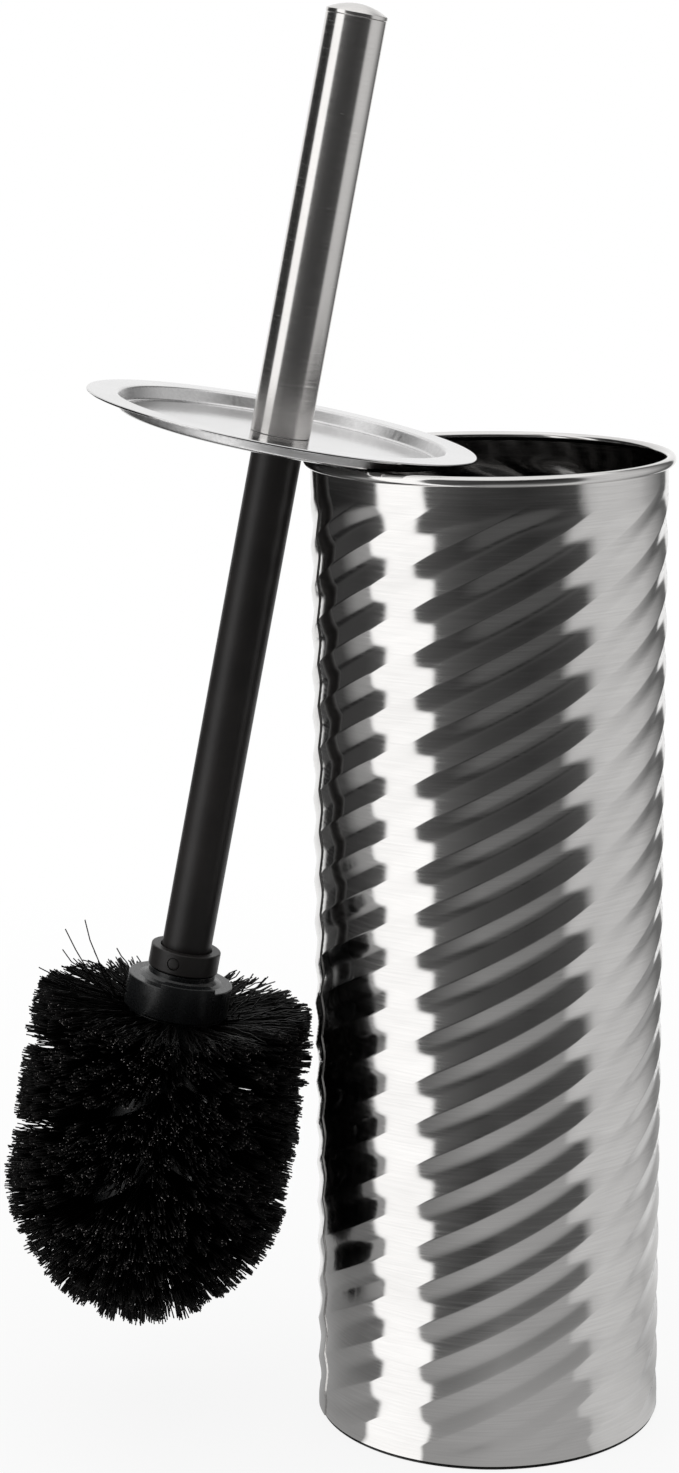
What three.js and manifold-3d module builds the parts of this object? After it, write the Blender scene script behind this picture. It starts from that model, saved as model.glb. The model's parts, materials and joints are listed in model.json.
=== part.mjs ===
// Free-standing toilet brush set: a fluted steel holder with its brush hung on the rim.
// Millimetres, +Z up. The origin is on the holder's axis, at the floor; the front is -Y.
// The brush is built upright in its own group, with the underside of the lid's flange at
// height 0, and the group is then tilted and hung over the rim on the -X side.

import * as THREE from 'three';
import { mergeVertices } from 'three/addons/utils/BufferGeometryUtils.js';
import Module from 'manifold-3d';

const wasm = await Module();
wasm.setup();

// ---------------------------------------------------------------- driving dimensions

const GAP = 0.3; // air left between two pieces that touch
const OVERCUT = 1; // how far a drill reaches past the face it opens

// Sides of the round pieces, as polygons.
const sides = { foot: 44, lid: 48, washer: 28, handle: 36, insert: 28, rod: 32, plug: 24,
  stud: 20, pin: 16, collar: 40, core: 32, tufts: 30 };

const holder = {
  wallRadius: 48, // outside of the sheet, on a flute's crest
  sheet: 0.5,
  bottom: 0.8, // lower edge of the wall
  beadRadius: 1.4, // rolled rim
  beadRingRadius: 48.6,
  beadHeight: 269.75, // centre of the rolled rim
  beadSteps: 9,
};

const flute = {
  starts: 13,
  pitch: 11.6, // crest to crest, measured up the wall
  crestHeight: 4.13, // height of one crest at the front of the wall
  depth: 0.8,
  valley: 0.55, // place of the valley between two crests
  columns: [0, 0.45, 0.72], // places round one flute where the sheet has an edge
  rows: 34,
  rowHeights: [8, 252], // the lowest and the highest row of corners on the flutes
  plainHeights: [4.5, 257], // one more row below them and one above
  fadeIn: [2.5, 11], // heights over which the flutes grow out of the plain lower edge
  fadeOut: [254, 261.5], // heights over which they run out under the rim
};

const pad = { radius: 47.6, thick: 0.5 };
const cup = {
  floorRadius: 47,
  floorSide: 2, // height at which the floor's edge starts to taper in
  floorTop: 2.6,
  skirtRadius: 45.9,
  skirtTop: 16,
  wall: 1.6,
};

const lid = { radius: 53, trayRadius: 45.3, sheet: 0.7, depth: 3.6, corner: 3, edge: 0.3, ease: 0.2 };
const stud = { radius: 2.95, hole: 3.3, top: 8, bottom: -20 };
const handle = { radius: 8.1, wall: 0.6, top: 109.1, dome: 2.3, capRim: 1, spigot: 9 };
const insert = {
  top: 22,
  boreTop: 20,
  pocketRadius: 6.2,
  nutAcrossFlats: 10,
  nutThick: 5,
  nutRecess: 0.2,
};
const washer = { radius: 9.5, thick: 1 };
const rod = { radius: 6.85, wall: 0.95, bottom: -164.5, plug: 20 };
const ferrule = {
  radius: 9.7,
  bore: 7.15,
  top: -147.7,
  bottom: -153.8,
  pinRadius: 1.65,
  pinAngle: -17,
  pinRoot: 5.2, // the pin's inner end, from the rod's axis
  pinSunk: 0.15, // how far its round end stays inside the ring
};
const socket = {
  neckRadius: 9.3,
  collarRadius: 15,
  neckTop: -154.1,
  collarTop: -156.8,
  bottom: -166.8,
  floor: 1.6,
  edge: 0.4,
  fillet: [1.1, 1.2], // how far the neck's foot spreads, and how far up it starts
};
const core = { radius: 13.6, wall: 2.5, shoulder: -222, tip: -236, domeSteps: 4 };
const bristles = {
  rings: 12,
  radius: 40.4,
  topRadius: 39.8, // the first ring stands closer in, clear of the holder's wall
  top: -169.8,
  shoulder: -218,
  tip: -258.4,
  roundness: 1.8,
  straight: 0.45, // share of the rings that stand on the straight side
  lastTurn: THREE.MathUtils.degToRad(76), // how far round the dome the last ring stands
  rootThick: 0.8,
  endThick: 2.3,
};

// How the brush hangs: its lid rests on the rim and its rod leans beside it.
const hang = { x: -55.436, z: 279.527, tilt: THREE.MathUtils.degToRad(10.98) };

// ---------------------------------------------------------------- materials

function finish(color, roughness, metalness) {
  return new THREE.MeshStandardMaterial({ color, roughness, metalness });
}

const brushedSteel = finish(0xb9b7b3, 0.28, 1);
const satinSteel = finish(0xc4c1bc, 0.38, 1);
const zincSteel = finish(0xa8a9ab, 0.45, 1);
const mattBlack = finish(0x1b1a1a, 0.6, 0);
const socketBlack = finish(0x202122, 0.45, 0);
const bristleBlack = finish(0x0d0c0c, 0.5, 0);
const rubberBlack = finish(0x151515, 0.85, 0);
const insertGrey = finish(0x6c6d6e, 0.6, 0);

// ---------------------------------------------------------------- helpers

// Turns a profile of [radius, height] points, taken anticlockwise, into a solid of revolution.
function revolve(profile, segments) {
  const points = profile.map(([radius, height]) => new THREE.Vector2(radius, height));
  return new THREE.LatheGeometry(points, segments).rotateX(Math.PI / 2);
}

// The same for a profile that closes on itself, such as that of a tube or a washer.
function revolveLoop(profile, segments) {
  return revolve([...profile, profile[0]], segments);
}

function tube(outer, inner, bottom, top, segments) {
  return revolveLoop([[inner, bottom], [outer, bottom], [outer, top], [inner, top]], segments);
}

// Points of a profile's round corner. Angles are in degrees, from outwards (0) to up (90).
function arc([radius, height], size, from, to, steps) {
  return Array.from({ length: steps + 1 }, (_, i) => {
    const angle = THREE.MathUtils.degToRad(from + ((to - from) * i) / steps);
    return [radius + size * Math.cos(angle), height + size * Math.sin(angle)];
  });
}

function toManifold(geometry) {
  const bare = geometry.clone();
  bare.deleteAttribute('normal');
  bare.deleteAttribute('uv');
  const merged = mergeVertices(bare, 1e-4);
  const vertProperties = new Float32Array(merged.attributes.position.array);
  const triVerts = new Uint32Array(merged.index.array);
  const mesh = new wasm.Mesh({ numProp: 3, vertProperties, triVerts });
  mesh.merge();
  return new wasm.Manifold(mesh);
}

function toGeometry(solid) {
  const { vertProperties, triVerts } = solid.getMesh();
  const geometry = new THREE.BufferGeometry();
  geometry.setAttribute('position', new THREE.BufferAttribute(vertProperties, 3));
  geometry.setIndex(new THREE.BufferAttribute(triVerts, 1));
  return geometry;
}

function cut(geometry, cutter) {
  return toGeometry(toManifold(geometry).subtract(toManifold(cutter)));
}

// A round bar that lies along the brush's radius, at the ferrule's pin.
function pinBar(radius, from, to) {
  const bar = new THREE.CylinderGeometry(radius, radius, to - from, sides.pin);
  bar.translate(0, -(from + to) / 2, 0);
  bar.rotateZ(THREE.MathUtils.degToRad(ferrule.pinAngle));
  return bar.translate(0, 0, (ferrule.top + ferrule.bottom) / 2);
}

// ---------------------------------------------------------------- holder

// How far the sheet dips below its crest: 0 on the crest, 1 in the valley.
function dip(phase) {
  return phase < flute.valley ? phase / flute.valley : (1 - phase) / (1 - flute.valley);
}

function fluteFade(z) {
  const grow = THREE.MathUtils.smoothstep(z, ...flute.fadeIn);
  return grow * (1 - THREE.MathUtils.smoothstep(z, ...flute.fadeOut));
}

// Stations of the wall's section: up the outside, round the rolled rim, down the inside.
function wallStations() {
  const { beadRadius, beadRingRadius, beadHeight, beadSteps, wallRadius, sheet } = holder;
  const [low, high] = flute.plainHeights;
  const heights = [holder.bottom, low];
  for (let row = 0; row <= flute.rows; row += 1) {
    heights.push(THREE.MathUtils.lerp(...flute.rowHeights, row / flute.rows));
  }
  heights.push(high, flute.fadeOut[1]);
  const outside = heights.map((z) => ({ z, inset: 0, fluted: true }));
  const inside = heights.map((z) => ({ z, inset: sheet, fluted: true })).reverse();
  const offset = (radius) => THREE.MathUtils.radToDeg(Math.asin((beadRingRadius - radius) / beadRadius));
  const outerAngle = -90 - offset(wallRadius);
  const innerAngle = 270 - offset(wallRadius - sheet);
  const bead = arc([beadRingRadius, beadHeight], beadRadius, outerAngle, innerAngle, beadSteps);
  const rolled = bead.map(([radius, z]) => ({ z, inset: wallRadius - radius, fluted: false }));
  return [...outside, ...rolled, ...inside];
}

// The wall's columns run along the flutes, so they wind round the holder as they rise.
function wallPoint({ z, inset, fluted }, column) {
  const { starts, pitch, crestHeight, columns, depth, fadeOut } = flute;
  const place = columns[column % columns.length];
  const index = Math.floor(column / columns.length);
  const windingHeight = Math.min(z, fadeOut[1]);
  const turns = (index + place) / starts + (windingHeight - crestHeight) / (starts * pitch);
  const angle = 2 * Math.PI * turns;
  const dipDepth = fluted ? depth * dip((1 - place) % 1) * fluteFade(z) : 0;
  const radius = holder.wallRadius - dipDepth - inset;
  return [radius * Math.sin(angle), -radius * Math.cos(angle), z];
}

function holderWall() {
  const stations = wallStations();
  const columnCount = flute.starts * flute.columns.length;
  const positions = [];
  for (let column = 0; column < columnCount; column += 1) {
    stations.forEach((station) => positions.push(...wallPoint(station, column)));
  }
  const indices = [];
  for (let column = 0; column < columnCount; column += 1) {
    const here = column * stations.length;
    const next = ((column + 1) % columnCount) * stations.length;
    stations.forEach((station, i) => {
      const after = (i + 1) % stations.length;
      const corners = [here + i, next + i, next + after, here + after];
      const rising = stations[after].z > station.z;
      const order = rising ? [0, 1, 3, 1, 2, 3] : [0, 1, 2, 0, 2, 3];
      indices.push(...order.map((corner) => corners[corner]));
    });
  }
  const geometry = new THREE.BufferGeometry();
  geometry.setAttribute('position', new THREE.Float32BufferAttribute(positions, 3));
  geometry.setIndex(indices);
  return geometry;
}

// Moulded floor with a low skirt, which catches the drips.
function baseCup() {
  const { floorRadius, floorSide, floorTop, skirtRadius, skirtTop, wall } = cup;
  return revolve([
    [0, holder.bottom],
    [floorRadius, holder.bottom],
    [floorRadius, floorSide],
    [skirtRadius, floorTop],
    [skirtRadius, skirtTop],
    [skirtRadius - wall, skirtTop],
    [skirtRadius - wall, floorTop],
    [0, floorTop],
  ], sides.foot);
}

function footPad() {
  const { radius, thick } = pad;
  return revolve([[0, 0], [radius, 0], [radius, thick], [0, thick]], sides.foot);
}

// ---------------------------------------------------------------- lid and handle

// One stamping: a flat flange round a shallow tray, with a hole for the stud.
function lidPan() {
  const { radius, trayRadius, sheet, depth, corner, edge, ease } = lid;
  const bend = [trayRadius - corner, corner - depth];
  return revolveLoop([
    [stud.hole, -depth],
    ...arc(bend, corner, -90, 0, 4),
    [trayRadius, 0],
    [radius - edge, 0],
    [radius, sheet / 2],
    [radius - edge, sheet],
    [trayRadius - ease, sheet],
    ...arc(bend, corner - sheet, 0, -90, 3),
    [stud.hole, sheet - depth],
  ], sides.lid);
}

function lidWasher() {
  const top = -lid.depth - GAP;
  return tube(washer.radius, stud.hole, top - washer.thick, top, sides.washer);
}

const handleBottom = lid.sheet - lid.depth + GAP;

function handleTube() {
  const top = handle.top - handle.capRim - GAP;
  return tube(handle.radius, handle.radius - handle.wall, handleBottom, top, sides.handle);
}

// Domed plug that closes the top of the handle.
function endCap() {
  const rimBottom = handle.top - handle.capRim;
  const spigotRadius = handle.radius - handle.wall - GAP;
  const bulge = (handle.radius ** 2 + handle.dome ** 2) / (2 * handle.dome);
  const half = THREE.MathUtils.radToDeg(Math.asin(handle.radius / bulge));
  return revolve([
    [0, rimBottom - handle.spigot],
    [spigotRadius, rimBottom - handle.spigot],
    [spigotRadius, rimBottom],
    [handle.radius, rimBottom],
    ...arc([0, handle.top + handle.dome - bulge], bulge, 90 - half, 90, 4).slice(0, -1),
    [0, handle.top + handle.dome],
  ], sides.handle);
}

const nutBottom = handleBottom + insert.nutRecess;

// Moulded plug in the foot of the handle, open below, with a pocket for the nut.
function handleInsert() {
  const outer = handle.radius - handle.wall - GAP;
  const pocketTop = nutBottom + insert.nutThick + GAP;
  return revolve([
    [0, insert.boreTop],
    [stud.hole, insert.boreTop],
    [stud.hole, pocketTop],
    [insert.pocketRadius, pocketTop],
    [insert.pocketRadius, handleBottom],
    [outer, handleBottom],
    [outer, insert.top],
    [0, insert.top],
  ], sides.insert);
}

function insertNut() {
  const hexagon = new THREE.Shape();
  const corner = insert.nutAcrossFlats / Math.sqrt(3);
  for (let side = 0; side < 6; side += 1) {
    const angle = (side * Math.PI) / 3;
    const [x, y] = [corner * Math.cos(angle), corner * Math.sin(angle)];
    if (side === 0) hexagon.moveTo(x, y);
    else hexagon.lineTo(x, y);
  }
  hexagon.closePath();
  hexagon.holes.push(new THREE.Path().absarc(0, 0, stud.hole, 0, 2 * Math.PI, true));
  const options = { depth: insert.nutThick, bevelEnabled: false, curveSegments: sides.stud };
  return new THREE.ExtrudeGeometry(hexagon, options).translate(0, 0, nutBottom);
}

// ---------------------------------------------------------------- rod

const rodTop = -lid.depth - washer.thick - 2 * GAP;

function rodTube() {
  const bore = rod.radius - rod.wall;
  const blank = tube(rod.radius, bore, rod.bottom, rodTop, sides.rod);
  return cut(blank, pinBar(ferrule.pinRadius + GAP, bore - OVERCUT, rod.radius + OVERCUT));
}

// Threaded plug that closes the top of the rod and takes the stud.
function rodPlug() {
  const outer = rod.radius - rod.wall - GAP;
  const bottom = rodTop - rod.plug;
  return revolve([
    [0, bottom],
    [outer, bottom],
    [outer, rodTop],
    [stud.hole, rodTop],
    [stud.hole, stud.bottom - GAP],
    [0, stud.bottom - GAP],
  ], sides.plug);
}

function tieStud() {
  const { radius, bottom, top } = stud;
  const lead = 0.6; // chamfer on both ends
  return revolve([
    [0, bottom],
    [radius - lead, bottom],
    [radius, bottom + lead],
    [radius, top - lead],
    [radius - lead, top],
    [0, top],
  ], sides.stud);
}

function rodFerrule() {
  const { radius, bore, bottom, top, pinRadius } = ferrule;
  const blank = tube(radius, bore, bottom, top, sides.handle);
  return cut(blank, pinBar(pinRadius + GAP, bore - OVERCUT, radius + OVERCUT));
}

function ferrulePin() {
  return pinBar(ferrule.pinRadius, ferrule.pinRoot, ferrule.radius - ferrule.pinSunk);
}

// ---------------------------------------------------------------- brush head

// Neck and collar in one moulding, with a blind bore for the end of the rod.
function headSocket() {
  const { neckRadius, collarRadius, neckTop, collarTop, bottom, floor, edge, fillet } = socket;
  return revolve([
    [0, bottom],
    [collarRadius, bottom],
    [collarRadius, collarTop - edge],
    [collarRadius - edge, collarTop],
    [neckRadius + fillet[0], collarTop],
    [neckRadius, collarTop + fillet[1]],
    [neckRadius, neckTop],
    [ferrule.bore, neckTop],
    [ferrule.bore, bottom + floor],
    [0, bottom + floor],
  ], sides.collar);
}

// Hollow tufted body of the head, open at the top where the collar closes it.
function headCore() {
  const { radius, wall, shoulder, tip, domeSteps } = core;
  const top = socket.bottom - GAP;
  // Points up the domed end, without the one on the axis.
  const dome = (size, depth) => Array.from({ length: domeSteps }, (_, i) => {
    const angle = (Math.PI / 2) * ((i + 1) / domeSteps - 1);
    return [size * Math.cos(angle), shoulder + depth * Math.sin(angle)];
  });
  return revolve([
    [0, tip],
    ...dome(radius, shoulder - tip),
    [radius, top],
    [radius - wall, top],
    ...dome(radius - wall, shoulder - tip - wall).reverse(),
    [0, tip + wall],
  ], sides.core);
}

// A point [radius, height] on the outline of a straight-sided body with a domed tip.
// share runs from 0 at the top of its side to 1, just short of the tip.
function outlinePoint({ radius, top, shoulder, tip, roundness }, share) {
  if (share < bristles.straight) {
    return [radius, THREE.MathUtils.lerp(top, shoulder, share / bristles.straight)];
  }
  const turn = ((share - bristles.straight) / (1 - bristles.straight)) * bristles.lastTurn;
  const power = 2 / roundness; // a roundness of 2 is an ellipse; less is more pointed
  return [radius * Math.cos(turn) ** power, shoulder - (shoulder - tip) * Math.sin(turn) ** power];
}

// One ring of tufts as a thin disc that widens outwards. Lower rings lean towards the tip.
function bristleRing(index) {
  const { rings, rootThick, endThick, topRadius } = bristles;
  const share = index / (rings - 1);
  const coreOutline = { ...core, radius: core.radius + GAP, tip: core.tip - GAP, roundness: 2 };
  const root = new THREE.Vector2(...outlinePoint({ ...coreOutline, top: bristles.top }, share));
  const end = new THREE.Vector2(...outlinePoint(bristles, share));
  if (index === 0) end.x = topRadius;
  const along = end.clone().sub(root).normalize();
  const across = new THREE.Vector2(-along.y, along.x);
  const corner = (point, offset) => point.clone().addScaledVector(across, offset).toArray();
  return revolveLoop([
    corner(root, -rootThick / 2),
    corner(end, -endThick / 2),
    corner(end, endThick / 2),
    corner(root, rootThick / 2),
  ], sides.tufts);
}

// ---------------------------------------------------------------- assembly

function piece(name, geometry, material) {
  const mesh = new THREE.Mesh(geometry, material);
  mesh.name = name;
  return mesh;
}

function brushGroup() {
  const group = new THREE.Group();
  group.add(
    piece('lid_pan', lidPan(), brushedSteel),
    piece('lid_washer', lidWasher(), rubberBlack),
    piece('handle_tube', handleTube(), satinSteel),
    piece('end_cap', endCap(), satinSteel),
    piece('handle_insert', handleInsert(), insertGrey),
    piece('insert_nut', insertNut(), zincSteel),
    piece('rod', rodTube(), mattBlack),
    piece('rod_plug', rodPlug(), insertGrey),
    piece('tie_stud', tieStud(), zincSteel),
    piece('rod_ferrule', rodFerrule(), mattBlack),
    piece('ferrule_pin', ferrulePin(), mattBlack),
    piece('head_socket', headSocket(), socketBlack),
    piece('head_core', headCore(), socketBlack),
  );
  for (let index = 0; index < bristles.rings; index += 1) {
    const number = String(index + 1).padStart(2, '0');
    group.add(piece(`bristle_ring_${number}`, bristleRing(index), bristleBlack));
  }
  group.rotation.y = hang.tilt;
  group.position.set(hang.x, 0, hang.z);
  return group;
}

const brushSet = new THREE.Group();
brushSet.add(
  piece('holder_wall', holderWall(), brushedSteel),
  piece('base_cup', baseCup(), mattBlack),
  piece('foot_pad', footPad(), rubberBlack),
  brushGroup(),
);

export default brushSet;
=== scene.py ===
"""Looks of a toilet brush set: a fluted steel holder with its brush hung on the rim.

Sizes are in millimetres until a mesh is made. The holder is built about the world's Z axis. The
brush's pieces are built upright in a frame of their own, whose height 0 is the underside of the
lid's flange, and that frame's place comes from the CAD joints.
"""

import json
from math import atan2, cos, pi, radians, sin, tan

import bpy
import numpy as np
from mathutils import Matrix, Vector


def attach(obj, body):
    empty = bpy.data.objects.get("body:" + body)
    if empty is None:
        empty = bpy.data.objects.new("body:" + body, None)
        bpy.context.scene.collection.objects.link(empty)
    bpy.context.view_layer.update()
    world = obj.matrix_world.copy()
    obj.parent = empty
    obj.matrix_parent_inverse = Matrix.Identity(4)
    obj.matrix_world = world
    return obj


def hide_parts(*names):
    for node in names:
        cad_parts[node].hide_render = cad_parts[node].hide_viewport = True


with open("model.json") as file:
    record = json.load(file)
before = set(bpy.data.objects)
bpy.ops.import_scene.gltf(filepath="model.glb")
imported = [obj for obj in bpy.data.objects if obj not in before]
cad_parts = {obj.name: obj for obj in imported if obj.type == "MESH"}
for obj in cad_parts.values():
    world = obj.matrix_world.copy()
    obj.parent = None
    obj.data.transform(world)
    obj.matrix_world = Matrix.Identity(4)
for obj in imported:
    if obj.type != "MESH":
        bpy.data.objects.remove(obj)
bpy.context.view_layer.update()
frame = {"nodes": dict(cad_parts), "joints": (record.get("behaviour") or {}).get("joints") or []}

MM = 0.001
UP = np.array((0.0, 0.0, 1.0))
CREASE = 30.0  # degrees: edges that bend more than this stay sharp in shading
ON_AXIS = 1e-9  # a point nearer to the axis than this lies on it
ARC_STEPS = 6
ARC_MARGIN = 0.3  # of the points beside an arc from its ends, in shares of its radius

# ---------------- driving dimensions

GAP = 0.3  # air between two pieces that touch
CUP_SIDES = 128  # columns of faces round each kind of turned piece
LID_SIDES = 192
TUBE_SIDES = 96
COLLAR_SIDES = 120
WASHER_SIDES = 64
PIN_SIDES = 32

WALL_RADIUS = 48.0  # outside of the sheet, on a flute's crest
WALL_SHEET = 0.5
WALL_BOTTOM = 0.8
BEAD_RADIUS = 1.4
BEAD_RING = 48.6
BEAD_HEIGHT = 269.75
BEAD_STEPS = 30

FLUTES = 13
FLUTE_PITCH = 11.6  # crest to crest, up the wall
FLUTE_CREST = 4.13  # height of one crest at the front
FLUTE_DEPTH = 0.8
FLUTE_VALLEY = 0.55  # place of the valley between two crests
CREST_ROUND = 0.03  # half width of the rounding, in shares of the pitch
VALLEY_ROUND = 0.14
FLUTE_GROW = (1.5, 8.0)  # heights over which the flutes grow out of the plain lower edge
FLUTE_END = (256.5, 264.0)  # heights over which they run out under the rim
DIP_SAMPLES = 2000
WALL_ROW = 1.75  # height of one row of faces
RIM_ROOM = 0.15  # from the wall's last row to the rolled rim
WALL_CREASE = 50.0

LAP_EDGE = -74.3  # azimuth in degrees of the outer end of the sheet, at the seam; it faces forwards
LAP_WIDTH = 14.0
LAP_STEP = 0.3
LAP_SINK = 0.05  # of the lap's far end into the sheet, so that no line shows there
LAP_ACROSS = (0.0, 0.012, 0.04, 0.15, 0.3, 0.5, 0.65, 0.8, 0.9, 1.0)  # shares of its width
LAP_FLAT = 0.5  # share of its width that stands off by the whole step
LAP_ROUND = 0.8  # share of the step at the rounded edge itself
LAP_ROWS = 420
LAP_CREASE = 40.0

PAD_RADIUS = 47.6
PAD_THICK = 0.5
CUP_LEDGE = 47.0  # the cup's lower edge, which closes the wall's foot
CUP_LEDGE_TOP = 2.0
CUP_FLOOR = 2.6
CUP_SKIRT = 45.9
CUP_TOP = 16.0
CUP_WALL = 1.6

LID_RADIUS = 53.0
LID_TRAY = 45.3
LID_SHEET = 0.7
LID_DEPTH = 3.6
LID_CORNER = 1.6
LID_DRAFT = 1.7  # how far the tray's wall leans inwards on its way down
HOLE_RADIUS = 3.3
WASHER_RADIUS = 9.5
WASHER_THICK = 1.0

HANDLE_RADIUS = 8.1
HANDLE_WALL = 0.6
HANDLE_TOP = 109.1
CAP_DOME = 2.3
CAP_RIM = 1.0
CAP_LIP = 0.12
CAP_SEAM = 0.06
CAP_SPIGOT = 9.0

ROD_RADIUS = 6.85
ROD_WALL = 0.95
ROD_BOTTOM = -164.5
RING_RADIUS = 9.7
RING_BORE = 7.15
RING_TOP = -147.7
RING_BOTTOM = -153.8
PIN_RADIUS = 1.65
PIN_ANGLE = -17.0
PIN_PLAY = 0.12  # between the pin and its hole
PIN_SINK = 0.12  # of the pin's rim below the ring's side
PIN_INNER = 5.2  # its inner end, from the rod's axis

NECK_RADIUS = 9.3
NECK_TOP = -154.1
NECK_FLARE = ((2.2, 0, 0.2), (0.9, 0.5, 0.5), (0, 1.3, 0.4))  # out, up, fillet: collar to neck
COLLAR_RADIUS = 14.5
COLLAR_TOP = -156.8
COLLAR_BOTTOM = -165.8
LIP_ANGLES = (-20.0, 43.0)  # the part of the collar's top that stands higher
LIP_HEIGHT = 1.3
LIP_SOFT = 0.9  # degrees over which it rises at either end
LIP_DEPTH = (1.6, 1.2)  # below the collar's top, between which the rise sets in
LIP_INSIDE = 1.2  # its inner edge, outside the neck
COLUMN_ROOM = 1.2  # degrees kept free of other columns round each end

CORE_RADIUS = 13.6
CORE_WALL = 2.5
CORE_SHOULDER = -222.0
CORE_TIP = -236.0

HEAD_RADIUS = 40.4
HEAD_SHOULDER = -218.0
HEAD_TIP = -258.4
HEAD_ROUNDNESS = 1.8
WALL_CLEARANCE = 0.6  # the bristles stop this far from the holder

FILAMENT_RADIUS = 0.21
TUFT_RADIUS = 1.15
TUFT_FILAMENTS = 48
TUFT_CLUMPS = 8
CLUMP_RADIUS = 0.13  # in shares of the tuft's spread
SIDE_SPREAD = (7.0, 3.7)  # of a side tuft's tips, round the core and along it
TOP_SPREAD = (6.6, 2.4)
DOME_SPREAD = (5.8, 5.4)
CLUMP_SHORT = 1.1  # how unevenly the clumps reach the outline
FILAMENT_SHORT = 0.5  # and the filaments of one clump
CUT_SHARE, CUT_SHORT = 0.15, 1.2  # some filaments are shorter still
WILD_SHARE, WILD_SPREAD = 0.04, 1.7  # and some lean further out of their tuft
CRIMP_PLACES = (0.0, 0.3, 0.46, 0.6, 0.73, 0.86, 1.0)  # of a zigzag's corners, along its filament
CRIMP_SIDES = (0.0, 0.3, -0.8, 1.0, -1.0, 1.0, -0.6)
CRIMP_SIZE = (0.15, 0.38)
BOW = 0.55
LONGEST = 70.0  # filament, before it is trimmed
HALVINGS = 22  # in the search for the trimmed outline
PAINTED_HIGHLIGHT_POWER = 5  # power of the random painted highlight on the cut ends, pale grey for the light their flat ends catch: the higher, the fewer are pale
BANDS = 4  # bands of tufts that wind round the core, with bare channels between them
BAND_ROWS = (-1.5, -0.5, 0.5, 1.5)
ROW_STEP = 3.0
ROW_TUFTS = 14
ROW_DROP = 3.4  # from the collar to the rows' first tufts
ROW_TILT = 7.0  # degrees upwards at the rows' upper ends
ROW_TILT_OVER = (0.55, 1.0)  # share of the rows' height where that sets in, and where it is full
FOOT_TILT = 9.0  # degrees downwards at their lower ends
FOOT_TILT_OVER = (0.0, 0.4)
TOP_TUFTS = 20  # a ring of tufts right under the collar
TOP_DROP = 1.7
TOP_TILT = 3.0
RIGHT_LIFT = 9.0
DOME_RINGS = ((13, 19), (31, 17), (49, 13), (67, 8), (83, 3))  # degrees down the dome, tufts
DOME_TILT = 3.0
HEAD_SWAY = 1.6  # how far the trimmed outline strays from the core's axis at its lower end
CHANNEL_RISE = 94.4  # of the channels, in one turn
CHANNEL_PHASE = (-29.0, -190.7)  # azimuth and height of a point on a channel
SEED = 11

# ---------------- the brush's own frame


def brush_matrix():
    """Turns the brush's upright frame, in millimetres, into the row frame, in metres."""
    joint = next(j for j in frame["joints"] if j["name"] == "handle_unscrew")
    up = Vector(joint["axis"]).normalized()
    back = Vector((0, 1, 0))
    right = back.cross(up).normalized()
    place = Matrix((right, back, up)).transposed().to_4x4()
    place.translation = Vector(joint["pos_m"])
    return place


BRUSH = brush_matrix()
HOLDER = Matrix.Identity(4)
LEAN = atan2(BRUSH[0][2], BRUSH[2][2])

# ---------------- mesh helpers


def add_piece(name, points, face_sets, place, crease=CREASE):
    """A mesh object from points in millimetres and arrays of faces, smooth up to its crease."""
    mesh = bpy.data.meshes.new(name)
    corners = np.concatenate([faces.ravel() for faces in face_sets])
    sizes = np.concatenate([np.full(len(faces), faces.shape[1]) for faces in face_sets])
    mesh.vertices.add(len(points))
    mesh.vertices.foreach_set("co", (np.asarray(points) * MM).astype(np.float32).ravel())
    mesh.loops.add(len(corners))
    mesh.loops.foreach_set("vertex_index", corners.astype(np.int32))
    mesh.polygons.add(len(sizes))
    starts = np.concatenate([[0], np.cumsum(sizes)[:-1]])
    mesh.polygons.foreach_set("loop_start", starts.astype(np.int32))
    mesh.update(calc_edges=True)
    mesh.validate()
    mesh.shade_smooth()
    if crease:
        mesh.set_sharp_from_angle(angle=radians(crease))
    piece = bpy.data.objects.new(name, mesh)
    bpy.context.scene.collection.objects.link(piece)
    piece.matrix_world = place
    return piece


def dress(piece, body, slot, material, *nodes):
    """Puts a piece on its body, gives it its finish and hides the CAD nodes it stands for."""
    piece.data.materials.append(material)
    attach(piece, body)
    if nodes:
        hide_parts(*nodes)


def rounded(outline, closed):
    """An outline of (radius, height, fillet) corners, with each fillet as an arc.

    A point just before and just after each arc keeps the flats beside it flat in shading.
    """
    count = len(outline)
    result = []
    for i, (radius, height, fillet) in enumerate(outline):
        here = np.array((radius, height), float)
        at_end = not closed and i in (0, count - 1)
        if fillet <= 0 or at_end:
            result.append(here)
            continue
        before = np.array(outline[i - 1][:2], float) - here
        after = np.array(outline[(i + 1) % count][:2], float) - here
        before /= np.linalg.norm(before)
        after /= np.linalg.norm(after)
        half = np.arccos(np.clip(before @ after, -1, 1)) / 2
        reach = fillet / tan(half)
        middle = (before + after) / np.linalg.norm(before + after)
        centre = here + middle * fillet / sin(half)
        start = here + before * reach - centre
        end = here + after * reach - centre
        sweep = pi - 2 * half
        result.append(here + before * (reach + ARC_MARGIN * fillet))
        for step in range(ARC_STEPS + 1):
            turn = sweep * step / ARC_STEPS
            result.append(centre + (start * sin(sweep - turn) + end * sin(turn)) / sin(sweep))
        result.append(here + after * (reach + ARC_MARGIN * fillet))
    return np.array(result)


def even_angles(sides):
    """Azimuths in equal steps right round."""
    return np.arange(sides) * 2 * pi / sides


def around(radius, turn, height):
    """Points by their radius, azimuth and height, which may be arrays of matching shapes."""
    places = np.broadcast_arrays(radius * np.sin(turn), -radius * np.cos(turn), height)
    return np.stack(places, -1)


def unit(vectors):
    return vectors / np.linalg.norm(vectors, axis=1)[:, None]


def side_axes(direction):
    """Two axes across each direction, square to it and to each other. They start from a slightly
    turned upward axis, which never lies along the direction."""
    across = unit(np.cross(direction, UP + 0.3 * np.roll(direction, 1, axis=1)))
    return across, np.cross(direction, across)


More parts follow.
